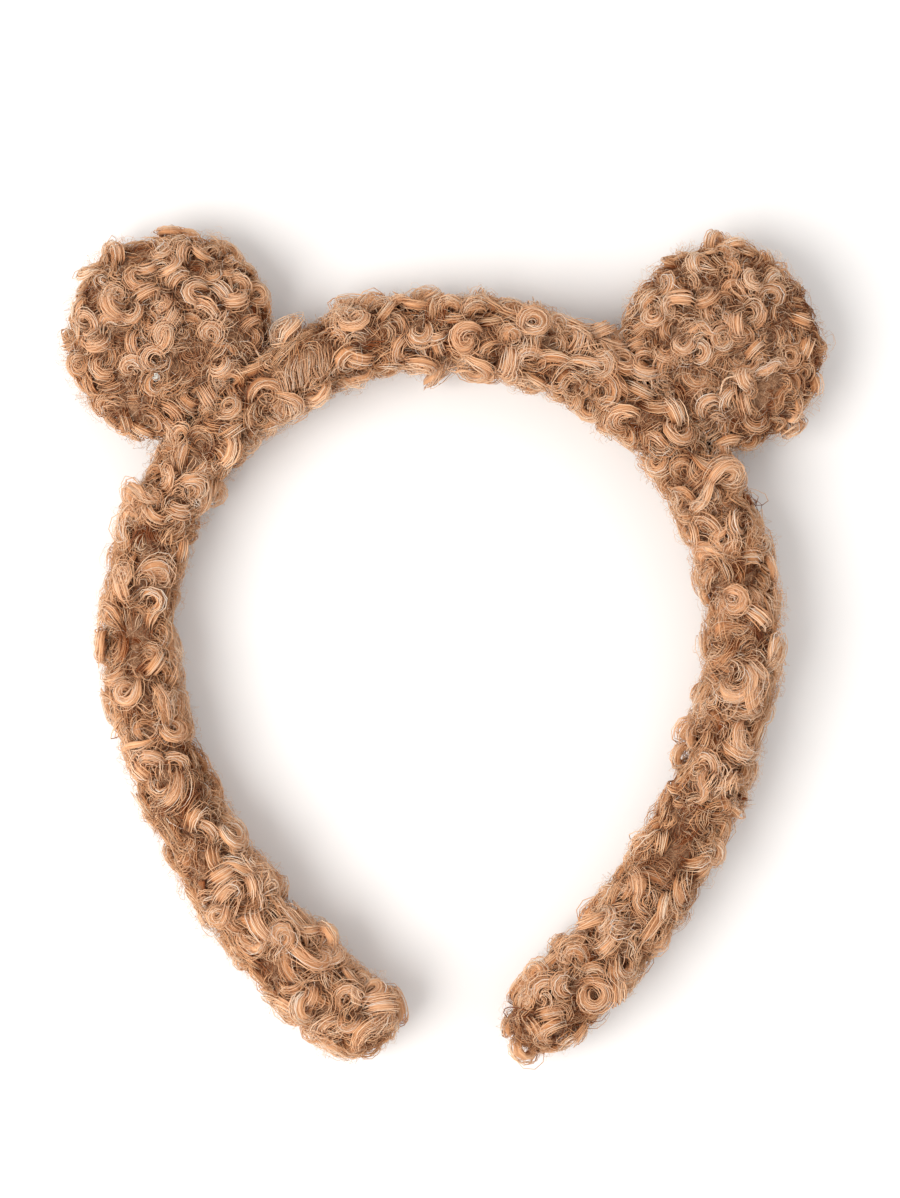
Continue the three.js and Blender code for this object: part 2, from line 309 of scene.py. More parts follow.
def add_sleeve(name, start, end):
    """A closed length of the sleeve's backing."""
    along, pinch = sleeve_stations(start, end)
    angle = circle(SLEEVE_SIDES)
    half_thick = BACKING_HALF_THICK * band_swell(along) * pinch
    half_wide = BACKING_HALF_WIDE * pinch
    out = half_thick[:, None] * np.maximum(np.cos(angle), INNER_FLAT)[None]
    up = half_wide[:, None] * np.sin(angle)[None]
    points = on_band(out, up, along[:, None])
    ends = points[[0, -1]].mean(axis=1)
    points = np.concatenate([points.reshape(-1, 3), ends])
    shape = (len(along), SLEEVE_SIDES)
    return make_mesh(name, points, ring_faces(*shape), end_fans(*shape))


# ---- The backing of an ear ----
EAR_RINGS = 24
EAR_SECTORS = 56


def add_ear_skin(name, side, radius, half_thick, foot, unevenness):
    """A stuffed disc with domed faces, flattened at its foot."""
    ring = np.linspace(0, math.pi, EAR_RINGS + 1)[1:-1]
    turn = circle(EAR_SECTORS)
    power = 2 / EAR_DOME_POWER
    reach = radius * np.sin(ring) ** power
    up = half_thick * np.sign(np.cos(ring)) * np.abs(np.cos(ring)) ** power
    along = reach[:, None] * np.sin(turn)[None]
    out = EAR_CENTRE_OUT + reach[:, None] * np.cos(turn)[None]
    along, out, up = (a.ravel() for a in np.broadcast_arrays(along, out, up[:, None]))
    along = np.append(along, [0, 0])
    out = np.maximum(np.append(out, [EAR_CENTRE_OUT] * 2), foot)
    up = np.append(up, [half_thick, -half_thick])
    points = on_ear(side, along, out, up)
    outward = unit(points - on_ear(side, 0, EAR_CENTRE_OUT, 0))
    points += MM * unevenness * (lumps(points)[:, None] - 1) * outward
    shape = (EAR_RINGS - 1, EAR_SECTORS)
    return make_mesh(name, points, ring_faces(*shape), end_fans(*shape))


# ---- Scattering roots ----
SCATTER_TRIES = 14


def surface_triangles(piece):
    mesh = piece.data
    mesh.calc_loop_triangles()
    points = np.empty(len(mesh.vertices) * 3)
    mesh.vertices.foreach_get("co", points)
    corners = np.empty(len(mesh.loop_triangles) * 3, int)
    mesh.loop_triangles.foreach_get("vertices", corners)
    normals = np.empty(len(mesh.vertices) * 3)
    mesh.vertices.foreach_get("normal", normals)
    return points.reshape(-1, 3), normals.reshape(-1, 3), corners.reshape(-1, 3)


def thin_out(points, spacing):
    """The points, in order, that are no nearer than spacing to one already kept, as a list of places."""
    grid, kept = {}, []
    keys = np.floor(points / spacing).astype(int).tolist()
    around = [(i, j, k) for i in (-1, 0, 1) for j in (-1, 0, 1) for k in (-1, 0, 1)]
    limit = spacing * spacing
    for index, ((x, y, z), (a, b, c)) in enumerate(zip(points.tolist(), keys)):
        near = (p for i, j, k in around for p in grid.get((a + i, b + j, c + k), ()))
        if any((x - p[0]) ** 2 + (y - p[1]) ** 2 + (z - p[2]) ** 2 < limit for p in near):
            continue
        grid.setdefault((a, b, c), []).append((x, y, z))
        kept.append(index)
    return np.array(kept, int)


def scatter(piece, spacing, rng):
    """Evenly spread roots on a piece: their places and normals. spacing is in millimetres."""
    points, normals, corners = surface_triangles(piece)
    a, b, c = (points[corners[:, k]] for k in range(3))
    area = np.linalg.norm(np.cross(b - a, c - a), axis=1) / 2
    count = int(SCATTER_TRIES * area.sum() / (spacing * MM) ** 2)
    chosen = rng.choice(len(area), count, p=area / area.sum())
    u, v = rng.random((2, count, 1))
    flip = u + v > 1
    u, v = np.where(flip, 1 - u, u), np.where(flip, 1 - v, v)
    places = a[chosen] + u * (b - a)[chosen] + v * (c - a)[chosen]
    na, nb, nc = (normals[corners[chosen, k]] for k in range(3))
    directions = unit((1 - u - v) * na + u * nb + v * nc)
    kept = thin_out(places, spacing * MM)
    return places[kept], directions[kept]


# ---- Locks of pile ----
# A style says what a kind of lock is like; pairs are the range that each lock draws from.
#   hairs, stations: hairs in a lock and places along each hair
#   length: mm        turn: degrees that the lock curls through       tighten: how much it winds up
#   wave: degrees that it snakes from side to side                    half_wide: mm, of the lock
#   arch: how domed its section is                                    thread: mm, a hair's radius
#   tilt: degrees, 0 lies flat and 90 stands as an arch               crest: mm above the backing
#   spin: degrees, which way it sets off                              frizz: mm that a hair wavers
#   stray: how far, as a share, each hair goes its own way            core: whether wool fills it
SWIRL = dict(hairs=14, stations=14, length=(17.0, 25.0), turn=(330, 520), tighten=(0.25, 0.6), wave=(0, 14),
             half_wide=(1.4, 2.0), arch=0.85, thread=(0.10, 0.13), tilt=(0, 35), crest=(1.6, 2.9),
             spin=(0, 360), stray=0.055, frizz=0.085, core=True)
CURL = dict(SWIRL, stations=11, length=(11.0, 16.0), turn=(270, 400), tighten=(0.3, 0.65),
            half_wide=(1.35, 1.9), tilt=(10, 55), crest=(1.9, 3.6))
ARCH = dict(SWIRL, stations=11, length=(11.0, 16.5), turn=(290, 420), tighten=(0.1, 0.4),
            half_wide=(1.4, 2.0), tilt=(50, 90), crest=(2.2, 4.0))
KNOB = dict(ARCH, length=(14.0, 18.0), turn=(380, 480), half_wide=(1.9, 2.4), tilt=(40, 90), crest=(4.5, 6.0))
MAT = dict(SWIRL, hairs=20, stations=11, length=(11.0, 19.0), turn=(120, 480), wave=(10, 40),
           half_wide=(1.7, 2.7), arch=0.6, thread=(0.075, 0.105), tilt=(0, 45), crest=(1.6, 3.2),
           stray=0.09, frizz=0.09)
WAVE = dict(SWIRL, stations=11, length=(9.0, 14.0), turn=(-130, 200), tighten=(-0.3, 0.3), wave=(20, 60),
            half_wide=(1.4, 2.1), arch=0.7, thread=(0.075, 0.105), tilt=(0, 40), crest=(1.5, 2.9),
            stray=0.08, frizz=0.09)
COMB = dict(WAVE, hairs=20, length=(10.0, 13.0), turn=(-35, 35), wave=(4, 16), half_wide=(1.7, 2.2),
            arch=0.3, thread=(0.065, 0.085), tilt=(0, 12), crest=(1.4, 1.9), stray=0.04, frizz=0.05,
            core=False)
SHORT_COMB = dict(COMB, hairs=13, length=(8.0, 9.5), half_wide=(0.95, 1.15), arch=0.9, crest=(1.9, 2.4))
UNDER = dict(SWIRL, hairs=10, stations=7, length=(6.0, 10.0), turn=(40, 300), tighten=(-0.2, 0.5),
             wave=(5, 40), half_wide=(1.2, 2.1), thread=(0.08, 0.115), tilt=(0, 45), crest=(0.9, 2.3),
             stray=0.08, frizz=0.05, core=False)
STRAY = dict(UNDER, hairs=3, length=(4.0, 9.0), turn=(20, 260), wave=(10, 60), half_wide=(0.5, 1.6),
             thread=(0.025, 0.045), tilt=(0, 50), crest=(2.4, 4.2), stray=0.15, frizz=0.08)
FUZZ = dict(UNDER, hairs=1, stations=5, length=(2.0, 4.5), turn=(-60, 160), wave=(0, 50),
            half_wide=(0.2, 0.5), thread=(0.02, 0.036), tilt=(50, 90), crest=(3.0, 5.0), stray=0.15,
            frizz=0.08)
TUFT = dict(CURL, hairs=9, stations=9, length=(3.2, 3.6), turn=(420, 460), half_wide=(0.5, 0.55),
            thread=(0.07, 0.09), tilt=(10, 20), crest=(4.6, 4.7))
HAIR_SIDES = 3
# The section of the wool in a lock: sideways and outward, as shares of its half width and of its dome.
CORE_SECTION = np.array([
    (-0.72, 0.1), (-0.44, 0.46), (0, 0.62), (0.44, 0.46), (0.72, 0.1), (0.36, -0.4), (-0.36, -0.4),
])
WAVE_SPREAD = 0.15
HEADING_SPREAD = 1.4
BEATS = (0.8, 1.5)


class Draws:
    """Random draws for a number of locks of one style."""

    def __init__(self, rng, style, count):
        self.rng, self.style = rng, style
        self.locks, self.hairs = (count, 1, 1), (count, style["hairs"], 1)

    def between(self, low, high):
        """One value for each lock."""
        return self.rng.uniform(low, high, self.locks)

    def styled(self, key):
        """One value for each lock, from its style's range."""
        return self.between(*self.style[key])

    def vary(self, spread):
        """One value for each hair, spread about zero."""
        return self.rng.normal(0, spread, self.hairs)


def curl_paths(draws):
    """Each hair's path in the plane of its lock, in millimetres: x, y and heading, at each station."""
    stations, stray = draws.style["stations"], draws.style["stray"]
    t = np.linspace(0, 1, stations)[None, None, :]
    length = draws.styled("length") * (1 + draws.vary(stray))
    turn = np.radians(draws.styled("turn")) * (1 + draws.vary(stray))
    tighten = draws.styled("tighten")
    wave = np.radians(draws.styled("wave")) * (1 + draws.vary(WAVE_SPREAD))
    phase, beats = draws.between(0, 1), draws.between(*BEATS)
    heading = turn * ((1 - tighten) * t + tighten * t * t)
    heading = heading + wave * np.sin(2 * math.pi * (beats * t + phase))
    heading = heading + draws.vary(HEADING_SPREAD * stray)
    step = length / (stations - 1)
    x = np.cumsum(np.cos(heading), axis=2) * step
    y = np.cumsum(np.sin(heading), axis=2) * step
    x -= x.mean(axis=(1, 2), keepdims=True)
    y -= y.mean(axis=(1, 2), keepdims=True)
    return x, y, heading, t


LUMP_HEIGHT = 1.15
LUMP_SIZE = 10.0
LUMP_WAVES = 9
# Where the pile stands fuller, or is worn thinner: the place (out, up and along on the band, or along and
# out on an ear), how far it reaches, and by how much, in millimetres.
FULLER_BAND = [
    (-6, 4, -200, 26.0, 1.8),
    (-3, 2, -221, 6.0, 1.5),
    (5, 2, -214, 9.0, -0.8),
    (-6, 4, -172, 13.0, 1.4),
    (6, 4, -158, 18.0, -1.0),
    (6, 4, -192, 20.0, -1.4),
    (-6, 4, -112, 18.0, -1.2),
    (6, 4, -90, 10.0, -0.8),
    (8, 4, -71, 8.0, 1.6),
    (-6, 4, -58, 14.0, -0.9),
    (8, 4, -32, 7.0, 1.6),
    (6, 4, -18, 11.0, 1.3),
    (6, 4, 32, 12.0, 1.3),
    (-6, 4, 95, 30.0, -0.6),
    (8, 4, 39, 6.0, 1.6),
    (8, 4, 74, 8.0, 1.0),
    (-6, 4, 165, 22.0, -1.1),
    (6, 4, 174, 16.0, -1.0),
    (3, 2, 221, 9.0, -0.6),
    (-5, 2, 216, 8.0, -1.4),
]
FULLER_EARS = [
    ("left", 22, 32, 9.0, 1.1),
    ("left", 0, 48, 8.0, 1.0),
    ("left", 12, 42, 8.0, -0.8),
    ("left", 24, 19, 8.0, -0.9),
    ("right", 12, 42, 18.0, -1.5),
    ("right", -1, 45, 8.0, -0.9),
    ("right", 18, 41, 6.0, 4.4),
    ("right", 22, 31, 7.0, 0.9),
]
FULLER = [(on_band(*place), reach, height) for *place, reach, height in FULLER_BAND]
FULLER += [(on_ear(*place, 0), reach, height) for *place, reach, height in FULLER_EARS]


def fullness(points):
    """How much higher than usual the pile stands at points in the row frame, in millimetres."""
    extra = np.zeros(len(points))
    for centre, reach, height in FULLER:
        extra += height * (1 - smooth(np.linalg.norm(points - centre, axis=1) / (MM * reach)))
    return extra


def lumps(points):
    """A smooth unevenness, from about -1 in hollows to 1 on humps, in all directions."""
    rng = np.random.default_rng(3)
    directions = unit(rng.normal(size=(LUMP_WAVES, 3)))
    pitch = 2 * math.pi / (MM * LUMP_SIZE * rng.uniform(0.7, 1.5, LUMP_WAVES))
    waves = np.sin(points @ directions.T * pitch + rng.uniform(0, 2 * math.pi, LUMP_WAVES))
    return waves.sum(axis=1) / math.sqrt(LUMP_WAVES)


FLOOR_REACH = 3.0


def rest_on_floor(points):
    """Presses what is near the floor, or under it, into the last millimetres above it."""
    height = points[..., 2] / MM
    pressed = FLOOR_REACH * np.exp((np.minimum(height, FLOOR_REACH) - FLOOR_REACH) / FLOOR_REACH)
    points[..., 2] = MM * np.where(height < FLOOR_REACH, pressed, height)
    return points


def lock_directions(normals, spin, hand, tilt):
    """Each lock's directions: two that span the plane it curls in, one across it, and its normal."""
    helper = np.where(np.abs(normals[:, 2:3]) < 0.8, [[0.0, 0.0, 1.0]], [[0.0, 1.0, 0.0]])
    east = unit(np.cross(helper, normals))
    north = np.cross(normals, east)
    first = east * np.cos(spin) + north * np.sin(spin)
    across = np.cross(normals, first)
    second = hand * np.cos(tilt) * across + np.sin(tilt) * normals
    axis = np.cos(tilt) * normals - hand * np.sin(tilt) * across
    return first, second, axis, normals


def along_directions(directions, *distances):
    """Sums distances along each lock's directions. The distances' first axis counts the locks."""
    total = 0
    for direction, distance in zip(directions, distances):
        shape = (len(direction),) + (1,) * (distance.ndim - 1) + (3,)
        total = total + distance[..., None] * direction.reshape(shape)
    return total


def beside(x, y, heading, lean, sideways, outward):
    """Places sideways and outward of a path: x and y in its plane, and how far off it."""
    in_plane = sideways * np.cos(lean) + outward * np.sin(lean)
    off_plane = outward * np.cos(lean) - sideways * np.sin(lean)
    return x + in_plane * np.sin(heading), y - in_plane * np.cos(heading), off_plane


def round_tubes(path, facing, thick, sides):
    """Corners of tubes along paths, as (lock, tube, station, corner, xyz), the first towards facing."""
    tangent = unit(np.gradient(path, axis=2))
    side = unit(np.cross(tangent, facing))
    up = np.cross(side, tangent)
    corner = math.pi / 2 - 2 * math.pi * np.arange(sides) / sides
    ring = np.cos(corner)[:, None] * side[..., None, :] + np.sin(corner)[:, None] * up[..., None, :]
    return path[..., None, :] + thick[..., None, None] * ring


def side_height(side_place):
    """How high a hair lies on its own lock's dome: 1 along the middle, 0 at the sides."""
    return np.clip(1 - np.abs(side_place), 0, 1) ** 0.7


def set_down(points, roots, normals, tone_and_hump_light, strand_and_crest_light):
    """Tubes moved to their roots, and the facts to colour them by: tone, painted lighter on humps; strand,
    painted lighter on crests; and depth, for painted shade down in the pile.
    """
    depth = (points * normals[:, None, None, None, :]).sum(axis=-1)
    facts = np.stack(np.broadcast_arrays(tone_and_hump_light, strand_and_crest_light, depth), axis=-1)
    return rest_on_floor(roots[:, None, None, None, :] + MM * points), facts


# How hairs stray in a lock, as shares of its half width, in slow and in quick waves, and in thickness.
PLACE_SPREAD = 0.08
HAIR_LIFT = 0.12
SLOW_DRIFT = 0.15
SLOW_BEATS = 1.4
QUICK_DRIFT = 0.06
QUICK_BEATS = 3.2
THREAD_SPREAD = 0.14
# How a lock's section leans, as a share of its tilt, give or take degrees, and falls off at its sides.
LEAN = 0.9
LEAN_SPREAD = 12
DOME_FALL = 0.8
# How wide or thick a lock is at its root, how far on it is full, where it narrows, and over how far.
BUNDLE = {"root": 0.4, "full": 0.35, "narrows": 0.6, "over": 0.45}
TAPER = {"root": 0.3, "full": 0.1, "narrows": 0.75, "over": 0.27}
CORE_TAPER = {"root": 0.6, "full": 0.1, "narrows": 0.8, "over": 0.2}
# How much of that it loses where it narrows: of its bundle, of its hairs' thickness and of its wool.
GATHER = (0.0, 0.6)
TAPER_LOSS = 0.72
CORE_TAPER_LOSS = 0.8
# Where a lock is up out of the pile, where it goes down again, over how far, and how far down.
DIVE_ENDS = 0.26
DIVE_FROM = 0.72
DIVE_OVER = 0.3
DIVE_AGAIN = 0.5
# How much of a hair's colour is painted light by its height on its lock's dome: a painted highlight along
# the crest and painted shade at the sides; and how much of a lock's tone is painted lighter on the humps
# and darker in the hollows, as painted light and shade.
CREST_LIGHT_SHARE = 0.42
HUMP_LIGHT_SHARE = 0.15
# Painted shade: the wool under a lock is kept darker than its hairs, and a little lighter along its middle as
# painted light; and how uneven its section is.
CORE_LIGHT = 0.2
CORE_UNEVENNESS = 0.14


def along_lock(t, loss, root, full, narrows, over):
    """A size along a lock, t from 0 at its root to 1 at its end: it grows to 1 and then loses some."""
    return root + (1 - root) * smooth(t / full) - loss * smooth((t - narrows) / over)


def grow_locks(roots, normals, rng, style):
    """Curled locks as groups of (points, facts) of tubes: the hairs and, under them, the wool."""
    count, hairs = len(roots), style["hairs"]
    draws = Draws(rng, style, count)
    x, y, heading, t = curl_paths(draws)
    hand = np.where(rng.random((count, 1)) < 0.5, -1.0, 1.0)
    tilt = np.radians(draws.styled("tilt"))
    lean = tilt * LEAN + np.radians(draws.between(-LEAN_SPREAD, LEAN_SPREAD))
    unevenness = lumps(roots)
    crest = draws.styled("crest") + (LUMP_HEIGHT * unevenness + fullness(roots))[:, None, None]
    half_wide = draws.styled("half_wide")
    spin = np.radians(draws.styled("spin"))[:, :, 0]
    directions = lock_directions(normals, spin, hand, tilt[:, :, 0])

    # The hairs fill the domed outer side of the lock's section, and are gathered in at both its ends.
    place = (np.linspace(-1, 1, hairs) if hairs > 1 else np.zeros(1))[None, :, None]
    dome = np.sqrt(1 - DOME_FALL * place**2)
    bundle = along_lock(t, draws.between(*GATHER), **BUNDLE)
    slow = np.sin(math.pi * (SLOW_BEATS * t + draws.vary(1.0)))
    quick = np.sin(math.pi * (QUICK_BEATS * t + draws.vary(1.0)))
    drift = draws.vary(SLOW_DRIFT) * slow + draws.vary(QUICK_DRIFT) * quick
    waver = rng.normal(0, style["frizz"], (2, *x.shape))
    waver[..., 1:-1] = 0.5 * waver[..., 1:-1] + 0.25 * (waver[..., 2:] + waver[..., :-2])
    lift = draws.vary(HAIR_LIFT) * (1 + slow)
    sideways = half_wide * bundle * (place + draws.vary(PLACE_SPREAD) + drift) + waver[0]
    outward = half_wide * (style["arch"] * bundle * dome + lift) + waver[1]
    hair_x, hair_y, hair_off = beside(x, y, heading, lean, sideways, outward)

    # A lock that lies flat dives into the pile at both ends.
    dive = (1 - smooth(t / DIVE_ENDS)) + DIVE_AGAIN * smooth((t - DIVE_FROM) / DIVE_OVER)
    dive = np.cos(tilt) * crest * dive
    peak = (hair_y * np.sin(tilt)).max(axis=(1, 2), keepdims=True)
    height = crest - peak - dive
    path = along_directions(directions, hair_x, hair_y, hair_off, height)
    flat = np.zeros_like(heading)
    facing = along_directions(directions, *beside(flat, flat, heading, lean, flat, flat + 1))
    taper = along_lock(t, TAPER_LOSS, **TAPER)
    thick = draws.styled("thread") * taper * (1 + draws.vary(THREAD_SPREAD))
    # Each lock's tone is random in part, and in part painted light on the humps and painted shade in the
    # hollows.
    tone_and_hump_light = (1 - HUMP_LIGHT_SHARE) * rng.random(count) + HUMP_LIGHT_SHARE * (0.5 + 0.5 * unevenness)
    tone_and_hump_light = np.clip(tone_and_hump_light, 0, 1)[:, None, None, None]
    # Painted light: hairs along the crest of the lock's dome are lighter and those at its sides darker, mixed
    # with a random share.
    strand_and_crest_light = CREST_LIGHT_SHARE * side_height(place) + (1 - CREST_LIGHT_SHARE) * rng.random((count, hairs, 1))
    tubes = round_tubes(path, facing, thick, HAIR_SIDES)
    groups = [set_down(tubes, roots, normals, tone_and_hump_light, strand_and_crest_light[..., None])]
    if not style["core"]:
        return groups

    middle = [v.mean(axis=1, keepdims=True)[..., None] for v in (x, y, heading)]
    size = half_wide * bundle * along_lock(t, CORE_TAPER_LOSS, **CORE_TAPER)
    size = size[..., None] * (1 + rng.normal(0, CORE_UNEVENNESS, (*size.shape, len(CORE_SECTION))))
    sideways = size * hand[:, :, None, None] * CORE_SECTION[:, 0]
    outward = style["arch"] * size * CORE_SECTION[:, 1]
    places = beside(*middle, lean[..., None], sideways, outward)
    core = along_directions(directions, *places, height[..., None])
    # Painted shade: the wool stays darker than the hairs, and a little lighter along its middle as painted
    # light.
    strand_and_crest_light = CORE_LIGHT * side_height(CORE_SECTION[:, 0])
    return groups + [set_down(core, roots, normals, tone_and_hump_light, strand_and_crest_light)]


def tube_mesh(name, groups):
    """One mesh of closed tubes from groups of their corners and facts, with a UV cell for each tube."""
    points, facts, weave, quads, triangles, quad_uvs, triangle_uvs = [], [], [], [], [], [], []
    tubes = sum(p.shape[0] * p.shape[1] for p, _ in groups)
    cells = math.ceil(math.sqrt(tubes))
    first_point = first_tube = 0
    for group, group_facts in groups:
        count, stations, sides = group.shape[0] * group.shape[1], group.shape[2], group.shape[3]
        size = stations * sides
        offsets = first_point + (np.arange(count) * size)[:, None, None]
        faces = ring_faces(stations, sides)
        quads.append((faces[None] + offsets).reshape(-1, 4))
        fan = np.arange(1, sides - 1)
        start = np.stack([np.zeros_like(fan), fan + 1, fan], axis=1)
        end = size - sides + np.stack([np.zeros_like(fan), fan, fan + 1], axis=1)
        caps = np.concatenate([start, end])
        triangles.append((caps[None] + offsets).reshape(-1, 3))
        points.append(group.reshape(-1, 3))
        facts.append(group_facts.reshape(-1, 3))
        # Hairs are one shade all round, and thicker tubes are streaked.
        corners = np.arange(sides) * (sides > HAIR_SIDES)
        on_tube = np.meshgrid(first_tube + np.arange(count), np.arange(stations), corners, indexing="ij")
        weave.append(np.stack(on_tube, axis=-1).reshape(-1, 3))

        row, column = np.divmod(np.arange(len(faces)), sides)
        along = np.stack([row, row, row + 1, row + 1], axis=1) / (stations - 1)
        around = np.stack([column, column + 1, column + 1, column], axis=1) / sides
        inside = UV_MARGIN + (1 - 2 * UV_MARGIN) * np.stack([along, around], axis=-1)
        ends = np.repeat([UV_MARGIN, 1 - UV_MARGIN], len(fan))[:, None, None] * np.ones((2 * len(fan), 3, 2))
        cell = np.stack(np.divmod(first_tube + np.arange(count), cells), axis=-1)[:, None, None, :]
        quad_uvs.append(((cell + inside[None]) / cells).reshape(-1, 2))
        triangle_uvs.append(((cell + ends[None]) / cells).reshape(-1, 2))
        first_point += count * size
        first_tube += count
    mesh = [np.concatenate(parts) for parts in (points, quads, triangles)]
    layers = {FACTS: np.concatenate(facts), WEAVE: np.concatenate(weave)}
    return make_mesh(name, *mesh, layers, np.concatenate(quad_uvs + triangle_uvs))


# ---- Stitches ----
STITCH_STATIONS = 8
STITCH_SIDES = 6
STITCH_RADIUS = 0.27
STITCH_RISE = 0.45
STITCH_SINK = 0.5


def sew(name, starts, ends, outward):
    """Stitches of thread from starts to ends, bowed outward and sunk into the fabric at both ends."""
    t = np.linspace(0, 1, STITCH_STATIONS)[:, None]
    bow = STITCH_RISE * np.sin(math.pi * t) - STITCH_SINK * np.abs(2 * t - 1) ** 3
    path = starts[:, None] + (ends - starts)[:, None] * t + MM * bow * outward[:, None]
    path = path[:, None]
    facing = np.broadcast_to(outward[:, None, None], path.shape)
    corners = round_tubes(path, facing, np.full(path.shape[:3], MM * STITCH_RADIUS), STITCH_SIDES)
    piece = tube_mesh(name, [(corners, np.zeros_like(corners))])
    dress(piece, THREAD_MATERIAL)
    return piece


# ---- Materials ----
def new_material(name, roughness):
    material = bpy.data.materials.new(name)
    material.use_nodes = True
    tree = material.node_tree
    shader = tree.nodes["Principled BSDF"]
    shader.inputs["Roughness"].default_value = roughness
    return material, tree, shader


def plug(tree, socket, value):
    """Links a socket to an output, or sets it to a value."""
    if isinstance(value, bpy.types.NodeSocket):
        tree.links.new(value, socket)
    else:
        socket.default_value = value


def add_node(tree, kind, **inputs):
    node = tree.nodes.new(f"ShaderNode{kind}")
    for name, value in inputs.items():
        plug(tree, node.inputs[name], value)
    return node


def ramp(tree, value, stops):
    """A colour picked by a value from stops along it."""
    node = add_node(tree, "ValToRGB", Fac=value)
    elements = node.color_ramp.elements
    while len(elements) < len(stops):
        elements.new(0.5)
    for element, (place, colour) in zip(elements, stops):
        element.position = place
        element.color = (*colour, 1)
    return node.outputs[0]


def maths(tree, operation, first, second):
    """A Math node's output, from two numbers or outputs."""
    node = add_node(tree, "Math")
    node.operation = operation
    for socket, value in zip(node.inputs, (first, second)):
        plug(tree, socket, value)
    return node.outputs[0]


def own_place(tree):
    """The object's own coordinates, in metres."""
    return add_node(tree, "TexCoord").outputs["Object"]


def attribute(tree, name):
    node = add_node(tree, "Attribute")
    node.attribute_name = name
    return node.outputs["Vector"]


def grain(tree, place, scale, detail, distortion, stretch=(1.0, 1.0, 1.0)):
    """A noise over a place, which is stretched first."""
    place = add_node(tree, "Mapping", Vector=place, Scale=stretch).outputs["Vector"]
    noise = add_node(tree, "TexNoise", Vector=place, Scale=scale, Detail=detail, Distortion=distortion)
    return noise.outputs["Fac"]


def bump_by(tree, shader, value, strength, distance):
    bump = add_node(tree, "Bump", Height=value, Strength=strength, Distance=distance)
    plug(tree, shader.inputs["Normal"], bump.outputs["Normal"])


def grainy_material(name, roughness, noise, stops, bump):
    """A material with one noise for its colour and bumps, given as grain, ramp and bump_by take them."""
    material, tree, shader = new_material(name, roughness)
    value = grain(tree, own_place(tree), *noise)
    plug(tree, shader.inputs["Base Color"], ramp(tree, value, stops))
    bump_by(tree, shader, value, *bump)
    return material, shader


# The pile's colour: shares of a lock's own tone, with painted light on humps, and of a hair's, with painted
# light on its lock's crest, and how strongly fibres streak it.
BY_LOCK_AND_HUMP_LIGHT = 0.12
BY_STRAND_AND_CREST_LIGHT = 0.58
BY_FIBRE = 0.9
FIBRE_MIDDLE = 0.36
FIBRE_STRETCH = (7.3, 0.2, 3.6)
# The tones of the pile, from dark to light; the top ones are whitish painted highlights.
PILE_TONES_AND_HIGHLIGHTS = [
    (0.0, (0.55, 0.24, 0.093)),
    (0.42, (0.80, 0.475, 0.272)),
    (0.65, (0.775, 0.575, 0.41)),
    (0.85, (0.795, 0.72, 0.645)),
]
# Painted shade: the colour is multiplied darker down in the pile, by depth as a share of this many
# millimetres above the backing.
DEPTH_SCALE = 4.0
DEPTH_SHADE_TONES = [(0.05, (0.27, 0.115, 0.04)), (0.45, (0.84, 0.725, 0.605)), (0.85, (1.0, 1.0, 1.0))]
PILE_SHINE = {
    "Sheen Weight": 0.15,
    "Sheen Roughness": 0.5,
    "Sheen Tint": (1.0, 0.82, 0.68, 1),
    "Specular IOR Level": 0.12,
}


def pile_material():
    """Wool hairs: toned by lock, by strand and by fibre, painted lighter on humps and crests, with whitish
    painted highlights and painted shade down in the pile.
    """
    material, tree, shader = new_material("boucle_pile", 0.8)
    parts = add_node(tree, "SeparateXYZ", Vector=attribute(tree, FACTS))
    fibres = grain(tree, attribute(tree, WEAVE), 1.0, 1.0, 0.0, FIBRE_STRETCH)

    by_lock_and_hump_light = maths(tree, "MULTIPLY", parts.outputs["X"], BY_LOCK_AND_HUMP_LIGHT)
    by_strand_and_crest_light = maths(tree, "MULTIPLY", parts.outputs["Y"], BY_STRAND_AND_CREST_LIGHT)
    by_fibre = maths(tree, "MULTIPLY", fibres, BY_FIBRE)
    by_fibre = maths(tree, "SUBTRACT", by_fibre, FIBRE_MIDDLE)
    tone_place = maths(tree, "ADD", by_lock_and_hump_light, by_strand_and_crest_light)
    tone_place = maths(tree, "ADD", tone_place, by_fibre)
    depth_place = maths(tree, "DIVIDE", parts.outputs["Z"], DEPTH_SCALE)
    # Painted light and shade: the tone ramp ends in whitish painted highlights, and the depth ramp paints
    # shade down in the pile.
    shade = add_node(tree, "Mix")
    shade.data_type = "RGBA"
    shade.blend_type = "MULTIPLY"
    plug(tree, shade.inputs["Factor"], 1.0)
    plug(tree, shade.inputs["A"], ramp(tree, tone_place, PILE_TONES_AND_HIGHLIGHTS))
    plug(tree, shade.inputs["B"], ramp(tree, depth_place, DEPTH_SHADE_TONES))
    plug(tree, shader.inputs["Base Color"], shade.outputs["Result"])

    bump_by(tree, shader, fibres, 0.6, 0.0002)
    for name, value in PILE_SHINE.items():
        shader.inputs[name].default_value = value
    return material


def backing_material():
    """The matted wool and knitted ground between the locks."""
    stops = [(0.3, (0.16, 0.07, 0.03)), (0.55, (0.34, 0.17, 0.085)), (0.8, (0.58, 0.33, 0.18))]
    return grainy_material("boucle_backing", 0.9, (1400.0, 4.0, 1.5), stops, (0.9, 0.0006))[0]


def thread_material():
    """Twisted sewing thread, matched to the wool."""
    noise = (2600.0, 2.0, 0.4, (1.0, 0.35, 1.0))
    stops = [(0.3, (0.42, 0.23, 0.12)), (0.7, (0.72, 0.46, 0.28))]
    return grainy_material("sewing_thread", 0.55, noise, stops, (0.8, 0.0002))[0]


